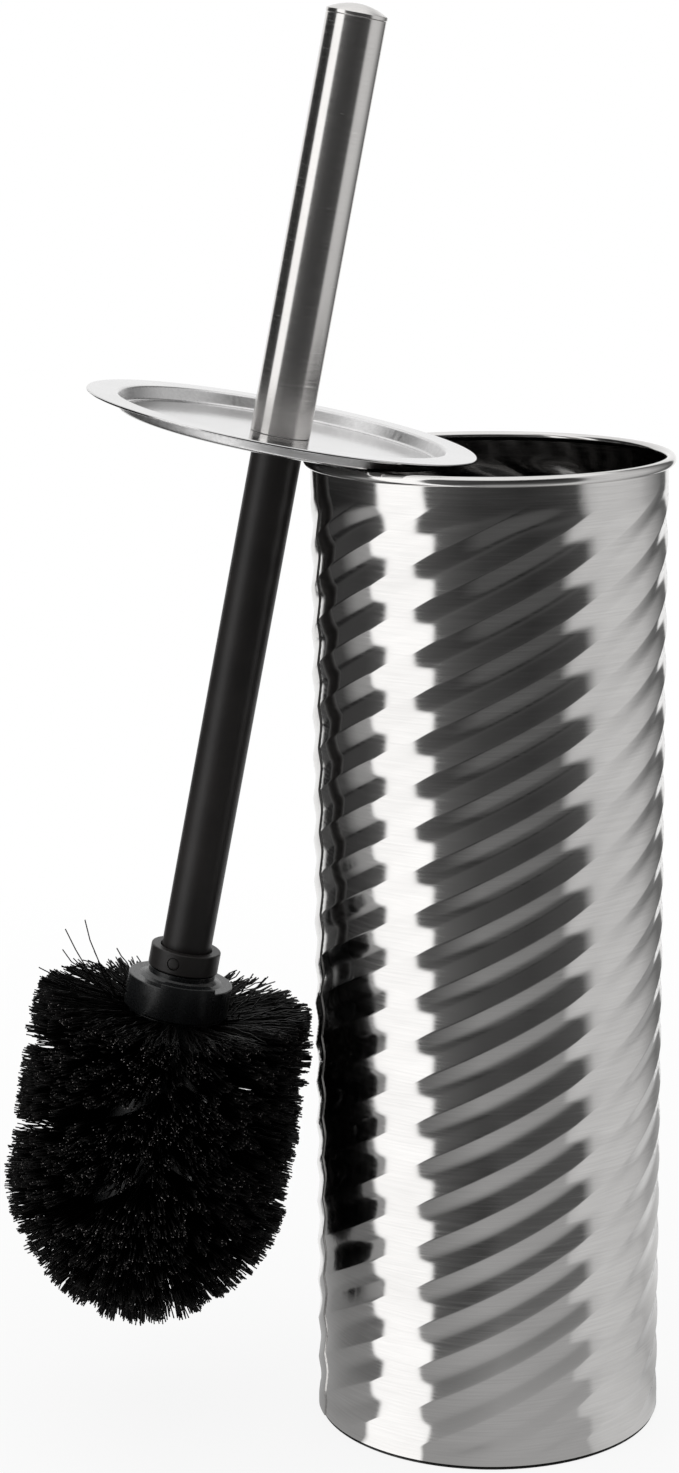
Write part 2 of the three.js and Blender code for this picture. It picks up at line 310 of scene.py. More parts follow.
def grid_faces(columns, rows, closed):
    """Quads of a grid whose columns close on themselves, and whose rows may."""
    index = np.arange(columns * rows).reshape(columns, rows)
    beside = np.roll(index, -1, axis=0)
    if closed:
        above, beside_above = np.roll(index, -1, axis=1), np.roll(beside, -1, axis=1)
    else:
        above, beside_above = index[:, 1:], beside[:, 1:]
        index, beside = index[:, :-1], beside[:, :-1]
    return np.stack([index, beside, beside_above, above], -1).reshape(-1, 4)


def join_poles(points, faces, rows):
    """Makes each row end that lies on the axis one point, so that the faces there are triangles."""
    columns = len(points) // rows
    index = np.arange(len(points)).reshape(columns, rows)
    for row in (0, rows - 1):
        if np.hypot(*points[row, :2]) < ON_AXIS:
            index[:, row] = index[0, row]
    faces = index.ravel()[faces]
    used = np.unique(faces)
    number = np.zeros(len(points), int)
    number[used] = np.arange(len(used))
    faces = number[faces]
    low = faces[:, 0] == faces[:, 1]
    high = faces[:, 2] == faces[:, 3]
    triangles = np.concatenate([faces[low][:, 1:], faces[high][:, :3]])
    return points[used], [faces[~(low | high)], triangles]


def lathe(name, outline, turns, place, closed=False, raise_by=None):
    """A solid of revolution with columns at the given azimuths. Its outline runs from axis to
    axis, or closes on itself."""
    profile = rounded(outline, closed)
    radius, height = (np.tile(values, (len(turns), 1)) for values in profile.T)
    turn = turns[:, None]
    if raise_by is not None:
        height = raise_by(turn, radius, height)
    points = around(radius, turn, height).reshape(-1, 3)
    face_sets = [grid_faces(len(turns), len(profile), closed)]
    if not closed:
        points, face_sets = join_poles(points, face_sets[0], len(profile))
    return add_piece(name, points, face_sets, place)


def carve(piece, cutter):
    """Cuts one piece with another and removes the cutter."""
    modifier = piece.modifiers.new("cut", "BOOLEAN")
    modifier.operation = "DIFFERENCE"
    modifier.solver = "EXACT"
    modifier.object = cutter
    graph = bpy.context.evaluated_depsgraph_get()
    mesh = bpy.data.meshes.new_from_object(piece.evaluated_get(graph))
    piece.modifiers.clear()
    piece.data = mesh
    mesh.shade_smooth()
    mesh.set_sharp_from_angle(angle=radians(CREASE))
    bpy.data.objects.remove(cutter)


# ---------------- material helpers

QUARTER_TURN = 0.25
MOST = (0.3, 0.7)  # the range in which most of a noise's values lie


def new_material(name, color, roughness, metallic=0.0, anisotropic=0.0, specular=0.5):
    """A material whose uniform values are set on the shader itself."""
    material = bpy.data.materials.new(name)
    material.use_nodes = True
    shader = material.node_tree.nodes["Principled BSDF"]
    values = {"Base Color": (*color, 1), "Roughness": roughness, "Metallic": metallic,
              "Anisotropic": anisotropic, "Specular IOR Level": specular}
    for socket, value in values.items():
        shader.inputs[socket].default_value = value
    return material, material.node_tree, shader


def add_node(tree, kind, inputs=None, **settings):
    """A node with its settings, and with inputs that are constants or other nodes' outputs."""
    node = tree.nodes.new("ShaderNode" + kind)
    for name, value in settings.items():
        setattr(node, name, value)
    for socket, value in (inputs or {}).items():
        if isinstance(value, bpy.types.NodeSocket):
            tree.links.new(value, node.inputs[socket])
        else:
            node.inputs[socket].default_value = value
    return node


def noise(tree, per_metre, detail=4.0, roughness=0.55):
    """Noise over the piece's own coordinates, by how many grains it has per metre of each axis."""
    place = add_node(tree, "TexCoord").outputs["Object"]
    stretched = add_node(tree, "Mapping", {"Vector": place, "Scale": per_metre})
    texture = {"Vector": stretched.outputs["Vector"], "Scale": 1.0, "Detail": detail,
               "Roughness": roughness}
    return add_node(tree, "TexNoise", texture).outputs["Fac"]


def spread(tree, value, source, target):
    """Maps a value from one range to another."""
    ends = {"Value": value, "From Min": source[0], "From Max": source[1],
            "To Min": target[0], "To Max": target[1]}
    return add_node(tree, "MapRange", ends).outputs["Result"]


def tint(tree, value, *stops):
    """A colour from a value, by (place, colour) stops."""
    node = add_node(tree, "ValToRGB", {"Fac": value})
    ramp = node.color_ramp
    while len(ramp.elements) < len(stops):
        ramp.elements.new(1.0)
    for element, (place, color) in zip(ramp.elements, stops):
        element.position = place
        element.color = (*color, 1)
    return node.outputs["Color"]


def add_bump(tree, shader, height, strength, distance):
    """Bump from a height value, whose full relief is distance millimetres."""
    relief = {"Height": height, "Strength": strength, "Distance": distance * MM}
    bump = add_node(tree, "Bump", relief)
    tree.links.new(bump.outputs["Normal"], shader.inputs["Normal"])


def brush_round(tree, shader):
    """Turns the shader's anisotropy about the piece's own Z axis."""
    tangent = add_node(tree, "Tangent", direction_type="RADIAL", axis="Z")
    shader.inputs["Anisotropic Rotation"].default_value = QUARTER_TURN
    tree.links.new(tangent.outputs["Tangent"], shader.inputs["Tangent"])


def math_node(tree, operation, first, second=0.0):
    """The result of one operation on two values, each a number or another node's output."""
    return add_node(tree, "Math", {0: first, 1: second}, operation=operation).outputs["Value"]


def split_place(tree, output):
    """X, Y and Z of one output of the texture coordinates."""
    place = add_node(tree, "TexCoord").outputs[output]
    return add_node(tree, "SeparateXYZ", {"Vector": place}).outputs


def squared_distance(tree, x, y):
    """The square of a point's distance from the Z axis."""
    squares = [math_node(tree, "MULTIPLY", value, value) for value in (x, y)]
    return math_node(tree, "ADD", *squares)


def azimuth_of(tree, x, y):
    """A point's azimuth in radians: 0 at the front, rising towards the right."""
    return math_node(tree, "ARCTAN2", x, math_node(tree, "MULTIPLY", y, -1.0))


def look_up(tree, azimuth, table, peak=1.0):
    """A level by azimuth, from a table in degrees whose highest level is peak."""
    share = spread(tree, azimuth, (-pi, pi), (0, 1))
    stops = [((a + 180) / 360, (level / peak,) * 3) for a, level in table]
    return math_node(tree, "MULTIPLY", tint(tree, share, *stops), peak)


# ---------------- materials


def steel(name, color, grain, clouds, gloss, anisotropic=0.0, bump=0.25, streak=0.1):
    """Brushed sheet steel: fine lines along one direction, and broad faint clouds over them."""
    material, tree, shader = new_material(name, color, gloss[0], 1.0, anisotropic=anisotropic)
    lines = noise(tree, grain, detail=5.0, roughness=0.65)
    cloud = noise(tree, clouds, detail=3.0)
    tree.links.new(spread(tree, lines, (0.38, 0.72), gloss), shader.inputs["Roughness"])
    tone = math_node(tree, "ADD", spread(tree, lines, MOST, (-streak, streak)),
                     spread(tree, cloud, MOST, (0.95, 1.04)))
    shade = add_node(tree, "VectorMath", {0: color, "Scale": tone}, operation="SCALE")
    tree.links.new(shade.outputs["Vector"], shader.inputs["Base Color"])
    add_bump(tree, shader, lines, bump, 0.02)
    return material, tree, shader


def fluted_steel():
    material, tree, shader = steel(
        "fluted steel", (0.655, 0.645, 0.635), grain=(45, 45, 1900), clouds=(25, 25, 60),
        gloss=(0.09, 0.2), anisotropic=0.65, bump=0.03, streak=0.06
    )
    brush_round(tree, shader)
    return material


def shaded_inner_steel():
    """The inside of the same sheet, a darker copy of the steel: painted shade for the holder's deep
    inside.
    """
    return steel(
        "inner steel painted shade", (0.24, 0.235, 0.23), grain=(45, 45, 1900), clouds=(25, 25, 60),
        gloss=(0.1, 0.2), bump=0.03
    )[0]


def lid_steel():
    """Brushed along X where it lies flat, and duller where the tray's wall was drawn."""
    material, tree, shader = steel(
        "lid steel", (0.65, 0.645, 0.645), grain=(60, 2200, 2200), clouds=(60, 60, 60),
        gloss=(0.08, 0.18), bump=0.04
    )
    x, y, _ = split_place(tree, "Object")
    edge = ((LID_TRAY + 0.2) * MM) ** 2
    outside = spread(tree, squared_distance(tree, x, y), (edge, edge * 1.01), (0.0, 1.0))
    level = math_node(tree, "ABSOLUTE", split_place(tree, "Normal")["Z"])
    flat = math_node(tree, "MAXIMUM", spread(tree, level, (0.35, 0.85), (0.0, 1.0)), outside)
    drawn = noise(tree, (900, 900, 40), detail=3.0)
    dull = spread(tree, drawn, MOST, (0.32, 0.5))
    brushed = shader.inputs["Roughness"].links[0].from_socket
    mix = add_node(tree, "Mix", {"Factor": flat, "A": dull, "B": brushed})
    tree.links.new(mix.outputs["Result"], shader.inputs["Roughness"])
    return material


def handle_steel():
    material, tree, shader = steel(
        "handle steel", (0.68, 0.665, 0.65), grain=(120, 120, 2200), clouds=(90, 90, 30),
        gloss=(0.19, 0.28), anisotropic=0.9, bump=0.012, streak=0.035
    )
    brush_round(tree, shader)
    return material


def zinc_steel():
    return steel(
        "zinc plate", (0.6, 0.61, 0.62), grain=(300, 300, 900), clouds=(90, 90, 90),
        gloss=(0.3, 0.45)
    )[0]


def plastic(name, dark, light, roughness, grain, bump, specular=0.4):
    """Moulded plastic with a fine pebble and a slight change of tone over it."""
    material, tree, shader = new_material(name, dark, roughness, specular=specular)
    cloud = noise(tree, (70, 70, 70))
    pebble = noise(tree, (grain, grain, grain), detail=2.0)
    tree.links.new(tint(tree, cloud, (0.3, dark), (0.7, light)), shader.inputs["Base Color"])
    polish = spread(tree, pebble, MOST, (roughness - 0.06, roughness + 0.08))
    tree.links.new(polish, shader.inputs["Roughness"])
    add_bump(tree, shader, pebble, bump, 0.05)
    return material


def bristle_black():
    """Glossy black filament, paler along its length at random, with a painted highlight: pale grey
    on some cut ends for the light their flat ends catch.
    """
    black = (0.002, 0.0018, 0.0018)
    material, tree, shader = new_material("bristle filament", black, 0.45, specular=0.13)
    streak = noise(tree, (900, 900, 900), detail=1.0)
    shade = tint(tree, streak, (0.35, (0.0015, 0.0013, 0.0013)), (0.75, (0.005, 0.0042, 0.004)))
    cut = add_node(tree, "Attribute", attribute_name="cut_end_highlight").outputs["Fac"]
    # painted highlight: pale grey on the cut ends stands in for light caught by their flat ends
    colors = {"Factor": cut, "A": shade, "B": (0.42, 0.39, 0.38, 1)}
    mix = add_node(tree, "Mix", colors, data_type="RGBA")
    tree.links.new(mix.outputs["Result"], shader.inputs["Base Color"])
    return material


# ---------------- holder


def dip_table():
    """How far the sheet dips below its crest, over one flute, with both bends rounded."""
    phase = np.linspace(0, 1, DIP_SAMPLES + 1)
    to_valley, to_crest = 1 / FLUTE_VALLEY, -1 / (1 - FLUTE_VALLEY)
    from_crest = np.clip((phase + CREST_ROUND) / (2 * CREST_ROUND), 0, 1)
    at_valley = np.clip((FLUTE_VALLEY + VALLEY_ROUND - phase) / (2 * VALLEY_ROUND), 0, 1)
    next_crest = np.clip((phase - 1 + CREST_ROUND) / (2 * CREST_ROUND), 0, 1)
    falling = np.minimum(from_crest, at_valley) + next_crest
    slope = to_crest + (to_valley - to_crest) * falling
    depth = np.concatenate([[0], np.cumsum((slope[1:] + slope[:-1]) / 2) / DIP_SAMPLES])
    return phase, depth - depth.min()


DIP_PHASE, DIP_DEPTH = dip_table()


def smooth_step(value, low, high):
    """Eases from 0 at low to 1 at high."""
    share = np.clip((value - low) / (high - low), 0, 1)
    return share * share * (3 - 2 * share)


def flute_depth(phase, height):
    """How far the fluted sheet stands inside the crest radius."""
    fade = smooth_step(height, *FLUTE_GROW) * (1 - smooth_step(height, *FLUTE_END))
    return FLUTE_DEPTH * fade * np.interp(phase % 1, DIP_PHASE, DIP_DEPTH)


def flute_phase(azimuth, height):
    """Where a point of the wall lies between two crests. The azimuth is in radians."""
    return (height - FLUTE_CREST) / FLUTE_PITCH - FLUTES * azimuth / (2 * pi)


def wall_places():
    """Phases of the wall's columns over one flute, close together where the sheet bends."""
    crest = np.linspace(-CREST_ROUND, CREST_ROUND, 6)
    valley = np.linspace(FLUTE_VALLEY - VALLEY_ROUND, FLUTE_VALLEY + VALLEY_ROUND, 8)
    fall = np.linspace(crest[-1], valley[0], 6)[1:-1]
    rise = np.linspace(valley[-1], 1 + crest[0], 5)[1:-1]
    return np.concatenate([crest, fall, valley, rise])


def wall_section():
    """Stations up the outside, round the rolled rim and down the inside, each with its inset from
    the crest radius, its height and whether the sheet is fluted there."""
    meet_out = np.arcsin((BEAD_RING - WALL_RADIUS) / BEAD_RADIUS)
    meet_in = np.arcsin((BEAD_RING - WALL_RADIUS + WALL_SHEET) / BEAD_RADIUS)
    turn = np.linspace(-pi / 2 - meet_out, 1.5 * pi - meet_in, BEAD_STEPS)
    rim = np.stack([WALL_RADIUS - BEAD_RING - BEAD_RADIUS * np.cos(turn),
                    BEAD_HEIGHT + BEAD_RADIUS * np.sin(turn)], -1)
    edge = WALL_SHEET / 2
    outer_top, inner_top = rim[0][1] - RIM_ROOM, rim[-1][1] - RIM_ROOM
    rows = int((outer_top - WALL_BOTTOM - edge) / WALL_ROW)
    outside = np.linspace(WALL_BOTTOM + edge, outer_top, rows)
    inside = np.linspace(inner_top, WALL_BOTTOM + edge, rows)
    below = np.linspace(pi, 2 * pi, 7)[1:-1]
    hem = [(edge - edge * cos(a), WALL_BOTTOM + edge + edge * sin(a), 1) for a in below]
    section = [(0, z, 1) for z in outside]
    section += [(inset, z, 0) for inset, z in rim]
    section += [(WALL_SHEET, z, 1) for z in inside]
    return np.array(section + hem[::-1])


def wall_sheet(material, shaded_inside_material):
    """The fluted sheet with its rolled rim. Its columns wind round the holder along the flutes."""
    places = wall_places()
    section = wall_section()
    phase = (np.arange(FLUTES)[:, None] + places[None, :]).reshape(-1, 1)
    inset, height, fluted = section.T[:, None, :]
    climb = (np.minimum(height, FLUTE_END[1]) - FLUTE_CREST) / FLUTE_PITCH
    azimuth = 2 * pi * (climb - phase) / FLUTES
    radius = WALL_RADIUS - inset - fluted * flute_depth(phase, height)
    points = around(radius, azimuth, height)[::-1]
    faces = grid_faces(len(phase), len(section), closed=True)
    piece = add_piece("wall_sheet", points.reshape(-1, 3), [faces], HOLDER, WALL_CREASE)
    dress(piece, "holder", "fluted_steel", material, "holder_wall")
    # the rows down the inside get the darker steel, painted shade for the holder's deep inside
    piece.data.materials.append(shaded_inside_material)
    row = np.arange(len(faces)) % len(section)
    last_rim = np.flatnonzero(section[:, 2] == 0)[-1]
    piece.data.polygons.foreach_set("material_index", (row >= last_rim).astype(np.int32))


def wall_lap(material):
    """The end of the sheet, lying on its beginning: one straight edge up the wall."""
    bottom, top = WALL_BOTTOM + 0.1, BEAD_HEIGHT - BEAD_RADIUS - 0.2
    heights = np.linspace(bottom, top, LAP_ROWS)
    first = radians(LAP_EDGE)
    width = LAP_WIDTH / WALL_RADIUS
    across = np.array(LAP_ACROSS)
    azimuth = first - width * across[:, None]
    level = WALL_RADIUS - flute_depth(flute_phase(azimuth, heights[None, :]), heights[None, :])
    rise = LAP_STEP * (1 - smooth_step(across, LAP_FLAT, 1.0))[:, None]
    rise[0] *= LAP_ROUND
    outer = level + rise - LAP_SINK * across[:, None]
    inner = level - 3 * LAP_SINK
    ring = [around(outer, azimuth, heights), around(inner[::-1], azimuth[::-1], heights)]
    points = np.concatenate(ring)[::-1]
    columns, rows = points.shape[:2]
    faces = grid_faces(columns, rows, closed=False)
    index = np.arange(columns * rows).reshape(columns, rows)
    caps = []
    half = columns // 2
    for i in range(half - 1):
        j = columns - 1 - i
        caps.append((index[i, 0], index[j, 0], index[j - 1, 0], index[i + 1, 0]))
        caps.append((index[i + 1, -1], index[j - 1, -1], index[j, -1], index[i, -1]))
    piece = add_piece("wall_lap", points.reshape(-1, 3), [faces, np.array(caps)], HOLDER,
                      LAP_CREASE)
    dress(piece, "holder", "fluted_steel", material)


def drip_cup(material):
    bore = CUP_SKIRT - CUP_WALL
    outline = [
        (0, WALL_BOTTOM, 0), (CUP_LEDGE, WALL_BOTTOM, 0.3), (CUP_LEDGE, CUP_LEDGE_TOP, 0.2),
        (CUP_SKIRT, CUP_FLOOR, 0.2), (CUP_SKIRT, CUP_TOP, 0.5), (bore, CUP_TOP, 0.5),
        (bore, CUP_FLOOR, 1.2), (0, CUP_FLOOR, 0),
    ]
    piece = lathe("drip_cup", outline, even_angles(CUP_SIDES), HOLDER)
    dress(piece, "holder", "moulded_black", material, "base_cup")


def anti_slip_pad(material):
    outline = [(0, 0, 0), (PAD_RADIUS, 0, 0.15), (PAD_RADIUS, PAD_THICK, 0.15), (0, PAD_THICK, 0)]
    piece = lathe("anti_slip_pad", outline, even_angles(CUP_SIDES), HOLDER)
    dress(piece, "holder", "rubber", material, "foot_pad")


# ---------------- lid and handle


def lid_stamping(material):
    """One stamping: a flat flange round a shallow tray."""
    floor = LID_SHEET - LID_DEPTH
    bore = LID_TRAY - LID_SHEET
    outline = [
        (HOLE_RADIUS, -LID_DEPTH, 0.2), (LID_TRAY - LID_DRAFT, -LID_DEPTH, LID_CORNER),
        (LID_TRAY, 0, 0.4), (LID_RADIUS, 0, 0.3), (LID_RADIUS, LID_SHEET, 0.35),
        (bore, LID_SHEET, 1.0), (bore - LID_DRAFT, floor, 1.0), (HOLE_RADIUS, floor, 0.2),
    ]
    piece = lathe("lid_stamping", outline, even_angles(LID_SIDES), BRUSH, closed=True)
    dress(piece, "lid", "lid_steel", material, "lid_pan")


def rubber_washer(material):
    top = -LID_DEPTH - GAP
    bottom = top - WASHER_THICK
    outline = [(HOLE_RADIUS, bottom, 0.1), (WASHER_RADIUS, bottom, 0.25),
               (WASHER_RADIUS, top, 0.25), (HOLE_RADIUS, top, 0.1)]
    piece = lathe("rubber_washer", outline, even_angles(WASHER_SIDES), BRUSH, closed=True)
    dress(piece, "lid", "rubber", material, "lid_washer")


def handle_shell(material):
    bottom = LID_SHEET - LID_DEPTH + CAP_SEAM
    top = HANDLE_TOP - CAP_RIM - CAP_SEAM
    bore = HANDLE_RADIUS - HANDLE_WALL
    outline = [(bore, bottom, 0.12), (HANDLE_RADIUS, bottom, 0.2),
               (HANDLE_RADIUS, top, 0.15), (bore, top, 0.12)]
    piece = lathe("handle_shell", outline, even_angles(TUBE_SIDES), BRUSH, closed=True)
    dress(piece, "handle", "handle_steel", material, "handle_tube")


def handle_cap(material):
    """Domed plug with a thin lip that stands a little proud of the tube."""
    rim = HANDLE_TOP - CAP_RIM
    spigot = HANDLE_RADIUS - HANDLE_WALL - GAP
    lip = HANDLE_RADIUS + CAP_LIP
    bulge = (lip ** 2 + CAP_DOME ** 2) / (2 * CAP_DOME)
    centre = HANDLE_TOP + CAP_DOME - bulge
    half = np.arcsin(lip / bulge)
    dome = [(bulge * sin(a), centre + bulge * cos(a), 0) for a in np.linspace(half, 0, 14)]
    outline = [(0, rim - CAP_SPIGOT, 0), (spigot, rim - CAP_SPIGOT, 0.4), (spigot, rim, 0.1),
               (lip, rim, 0.25), (lip, HANDLE_TOP, 0.25), *dome[1:-1],
               (0, HANDLE_TOP + CAP_DOME, 0)]
    piece = lathe("handle_cap", outline, even_angles(TUBE_SIDES), BRUSH)
    dress(piece, "handle", "handle_steel", material, "end_cap")


# ---------------- rod


def rod_tube(material):
    top = -LID_DEPTH - WASHER_THICK - 2 * GAP
    bore = ROD_RADIUS - ROD_WALL
    outline = [(bore, ROD_BOTTOM, 0.15), (ROD_RADIUS, ROD_BOTTOM, 0.3),
               (ROD_RADIUS, top, 0.3), (bore, top, 0.15)]
    piece = lathe("rod_tube", outline, even_angles(TUBE_SIDES), BRUSH, closed=True)
    dress(piece, "brush", "rod_black", material, "rod")


def pin_place():
    """A frame on the ring's side, at its pin, whose Z axis points outwards."""
    turn = radians(PIN_ANGLE)
    out = Vector((sin(turn), -cos(turn), 0))
    up = Vector((0, 0, 1))
    place = Matrix((up.cross(out), up, out)).transposed().to_4x4()
    place.translation = (out * RING_RADIUS + up * (RING_TOP + RING_BOTTOM) / 2) * MM
    return BRUSH @ place


def rod_ring(material):
    """The ring at the rod's end, with the hole for its pin."""
    outline = [(RING_BORE, RING_BOTTOM, 0.2), (RING_RADIUS, RING_BOTTOM, 0.4),
               (RING_RADIUS, RING_TOP, 0.45), (RING_BORE, RING_TOP, 0.25)]
    piece = lathe("rod_ring", outline, even_angles(TUBE_SIDES), BRUSH, closed=True)
    drill = PIN_RADIUS + PIN_PLAY
    depth = RING_RADIUS - RING_BORE
    hole = [(0, -depth - 1, 0), (drill, -depth - 1, 0), (drill, 1, 0), (0, 1, 0)]
    carve(piece, lathe("drill", hole, even_angles(PIN_SIDES), pin_place()))
    dress(piece, "brush", "rod_black", material, "rod_ferrule")


def ring_pin(material):
    """The pin, whose slightly domed end shows in the ring's side."""
    inner = PIN_INNER - RING_RADIUS
    outline = [(0, inner, 0), (PIN_RADIUS, inner, 0.2), (PIN_RADIUS, -PIN_SINK - 0.1, 0.3),
               (PIN_RADIUS * 0.6, -PIN_SINK, 0.8), (0, 0.05 - PIN_SINK, 0)]
    piece = lathe("ring_pin", outline, even_angles(PIN_SIDES), pin_place())
    dress(piece, "brush", "rod_black", material, "ferrule_pin")


# ---------------- brush head


def lip_angles():
    """Columns round the collar, with a pair close together at each end of its raised lip."""
    ends = np.radians(LIP_ANGLES)
    pair = radians(LIP_SOFT)
    spots = np.concatenate([ends - pair, ends, ends + pair])
    even = even_angles(COLLAR_SIDES) - pi
    clear = [a for a in even if np.min(np.abs(a - spots)) > radians(COLUMN_ROOM)]
    return np.sort(np.concatenate([clear, spots]))


def raise_lip(angle, radius, height):
    """The collar's heights with its lip raised."""
    low, high = np.radians(LIP_ANGLES)
    soft = radians(LIP_SOFT)
    window = smooth_step(angle, low - soft, low) * (1 - smooth_step(angle, high, high + soft))
    on_top = smooth_step(height, COLLAR_TOP - LIP_DEPTH[0], COLLAR_TOP - LIP_DEPTH[1])
    on_top = on_top * (radius > NECK_RADIUS + LIP_INSIDE)
    return height + LIP_HEIGHT * window * on_top


def head_collar(material):
    """Neck and collar in one moulding, with a blind bore for the rod's end."""
    floor = ROD_BOTTOM - GAP
    outline = [
        (0, COLLAR_BOTTOM, 0), (COLLAR_RADIUS, COLLAR_BOTTOM, 0.3),
        (COLLAR_RADIUS, COLLAR_TOP, 0.35),
        *((NECK_RADIUS + out, COLLAR_TOP + up, fillet) for out, up, fillet in NECK_FLARE),
        (NECK_RADIUS, NECK_TOP, 0.2), (RING_BORE, NECK_TOP, 0.2),
        (RING_BORE, floor, 0.3), (0, floor, 0),
    ]
    piece = lathe("head_collar", outline, lip_angles(), BRUSH, raise_by=raise_lip)
    dress(piece, "head", "socket_black", material, "head_socket")


def tuft_core(material):
    """The moulding that the tufts are set in, open at the top where the collar closes it."""
    top = COLLAR_BOTTOM - GAP
    depth = CORE_SHOULDER - CORE_TIP
    outer = [(CORE_RADIUS * cos(a), CORE_SHOULDER + depth * sin(a), 0)
             for a in np.linspace(-pi / 2, 0, 14)[1:]]
    bore = CORE_RADIUS - CORE_WALL
    inner = [(bore * cos(a), CORE_SHOULDER + (depth - CORE_WALL) * sin(a), 0)
             for a in np.linspace(0, -pi / 2, 10)[:-1]]
    outline = [(0, CORE_TIP, 0), *outer, (CORE_RADIUS, top, 0.3), (bore, top, 0.3), *inner,
               (0, CORE_TIP + CORE_WALL, 0)]
    piece = lathe("tuft_core", outline, even_angles(TUBE_SIDES), BRUSH)
    dress(piece, "head", "socket_black", material, "head_core")


def right_lift(azimuth):
    """Extra upward tilt, in radians, of the upper tufts on the head's right side."""
    return radians(RIGHT_LIFT) * max(sin(azimuth), 0.0)


def side_tufts():
    """The tufts on the core's side, in bands along its channels. Each tuft is its root's azimuth,
    radius and height, its tilt and its spread."""
    rise = CHANNEL_RISE / (2 * pi)  # of a row, in one radian
    slope = atan2(rise, CORE_RADIUS)
    top, bottom = COLLAR_BOTTOM - ROW_DROP, CORE_SHOULDER
    step = (top - bottom) / (ROW_TUFTS - 0.5)
    tufts = []
    for band in range(BANDS):
        for row in BAND_ROWS:
            offset = row * ROW_STEP / cos(slope) + CHANNEL_RISE / BANDS / 2
            stagger = 0.5 * (row % 2)
            for number in range(ROW_TUFTS):
                height = top - (number + stagger) * step
                climb = height - offset - CHANNEL_PHASE[1] - band * CHANNEL_RISE / BANDS
                azimuth = radians(CHANNEL_PHASE[0]) + climb / rise
                share = (height - bottom) / (top - bottom)
                tilt = radians(ROW_TILT) + right_lift(azimuth)
                tilt *= smooth_step(share, *ROW_TILT_OVER)
                tilt -= radians(FOOT_TILT) * (1 - smooth_step(share, *FOOT_TILT_OVER))
                tufts.append((azimuth, CORE_RADIUS, height, tilt, *SIDE_SPREAD))
    return tufts


def top_tufts():
    """A ring of tufts that spreads upwards round the collar."""
    height, tilt = COLLAR_BOTTOM - TOP_DROP, radians(TOP_TILT)
    return [(azimuth, CORE_RADIUS, height, tilt + right_lift(azimuth), *TOP_SPREAD)
            for azimuth in even_angles(TOP_TUFTS)]


def dome_tufts():
    """The tufts on the core's domed end, in rings."""
    depth = CORE_SHOULDER - CORE_TIP
    tufts = []
    for ring, (turn, count) in enumerate(DOME_RINGS):
        radius = CORE_RADIUS * cos(radians(turn))
        height = CORE_SHOULDER - depth * sin(radians(turn))
        for number in range(count):
            azimuth = 2 * pi * (number + 0.5 * (ring % 2)) / count
            tufts.append((azimuth, radius, height, -radians(turn + DOME_TILT), *DOME_SPREAD))
    return tufts


def trimmed_side(height):
    """The outline's radius above its shoulder, kept clear of the holder's wall."""
    place, lean = BRUSH.translation[0] / MM, BRUSH[0][2]
    room = -place - WALL_RADIUS - WALL_CLEARANCE - height * lean
    return np.minimum(HEAD_RADIUS, room / cos(LEAN))


def reach(start, direction):
    """How far each filament runs before it meets the head's outline."""
    near, far = np.zeros(len(start)), np.full(len(start), LONGEST)
    for _ in range(HALVINGS):
        middle = (near + far) / 2
        point = start + direction * middle[:, None]
        height = point[:, 2]
        drop = np.clip((HEAD_SHOULDER - height) / (HEAD_SHOULDER - HEAD_TIP), 0, None)
        share = (COLLAR_BOTTOM - height) / (COLLAR_BOTTOM - HEAD_TIP)
        sway = HEAD_SWAY * np.clip(share, 0, 1)
        radius = np.hypot(point[:, 0] - sway, point[:, 1]) / trimmed_side(height)
        inside = radius ** HEAD_ROUNDNESS + drop ** HEAD_ROUNDNESS < 1
        near, far = np.where(inside, middle, near), np.where(inside, far, middle)
    return near


def disc(random, count):
    """Points spread evenly over a unit disc."""
    turn = random.uniform(0, 2 * pi, count)
    radius = np.sqrt(random.uniform(0, 1, count))
    return radius * np.cos(turn), radius * np.sin(turn)


def clumped(random, tuft_count):
    """Tips for every tuft's filaments, drawn together in small clumps over a unit disc, and how
    much shorter than the trimmed outline each clump is."""
    clumps = tuft_count * TUFT_CLUMPS
    clump_a, clump_b = disc(random, clumps)
    size = TUFT_FILAMENTS // TUFT_CLUMPS
    loose_a, loose_b = disc(random, clumps * size)
    short = np.abs(random.normal(0, CLUMP_SHORT, clumps))
    return (np.repeat(clump_a, size) + CLUMP_RADIUS * loose_a,
            np.repeat(clump_b, size) + CLUMP_RADIUS * loose_b, np.repeat(short, size))


def tuft_paths(random, tufts):
    """The filaments of all tufts, as paths of points from the core to the trimmed outline."""
    azimuth, radius, height, tilt, spread_round, spread_up = np.repeat(
        np.array(tufts), TUFT_FILAMENTS, axis=0
    ).T
    count = len(azimuth)
    outwards = around(1.0, azimuth, 0.0)
    along = np.cross(UP, outwards)
    axis = np.cos(tilt)[:, None] * outwards + np.sin(tilt)[:, None] * UP
    upwards = np.cross(along, axis)
    upwards *= np.sign(upwards[:, 2:] + 1e-9)
    root_a, root_b = disc(random, count)
    root = outwards * radius[:, None] + UP * height[:, None] - axis
    root += TUFT_RADIUS * (along * root_a[:, None] + upwards * root_b[:, None])
    tip_a, tip_b, short = clumped(random, len(tufts))
    length = reach(root, axis)
    wild = np.where(random.uniform(0, 1, count) < WILD_SHARE, WILD_SPREAD, 1.0)
    target = axis * length[:, None] + along * (tip_a * spread_round * wild)[:, None]
    target += upwards * (tip_b * spread_up * wild)[:, None]
    direction = unit(target)
    short += np.abs(random.normal(0, FILAMENT_SHORT, count))
    short += CUT_SHORT * (random.uniform(0, 1, count) < CUT_SHARE)
    length = reach(root, direction) - short
    return crimped(random, root, direction, length)


